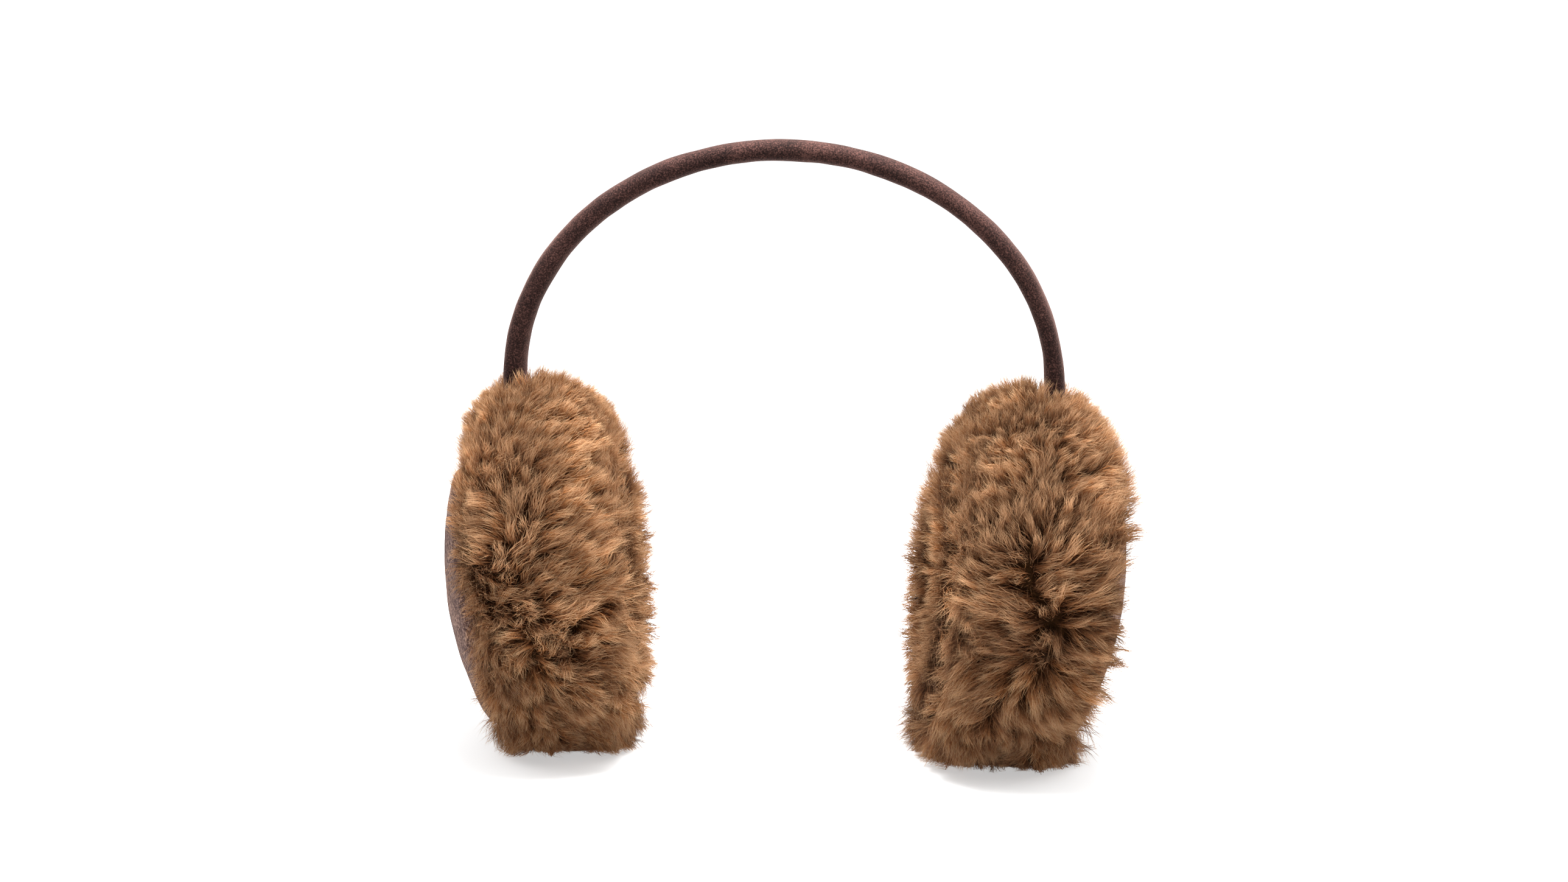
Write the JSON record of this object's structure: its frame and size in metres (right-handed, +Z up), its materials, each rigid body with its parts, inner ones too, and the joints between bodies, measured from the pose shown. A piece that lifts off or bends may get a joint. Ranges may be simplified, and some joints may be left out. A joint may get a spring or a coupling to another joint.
{
  "type": "fur earmuffs",
  "caption": "Deep round fur muffs with domed suede outer caps on one arched, velvet-covered headband, standing on their fur.",
  "frame": {"origin": "on the surface the earmuffs stand on, under the middle of their bounding box", "axes": "+X from the left muff to the right one, +Y away from the viewer, +Z up through the top of the headband"},
  "size_m": [0.2178, 0.1214, 0.1943],
  "materials": {
    "velvet": "very dark brown velvet with a short dense nap",
    "fur": "deep curly warm brown pile fur with lighter tips",
    "pad_fur": "warm brown pile fur, a little shorter than on the rims",
    "suede": "dark purple-brown suede cloth"
  },
  "bodies": {
    "root": {"headband": "velvet", "left_fur_rim": "fur", "right_fur_rim": "fur", "left_ear_pad": "pad_fur", "right_ear_pad": "pad_fur", "left_cap": "suede", "right_cap": "suede"}
  },
  "joints": []
}
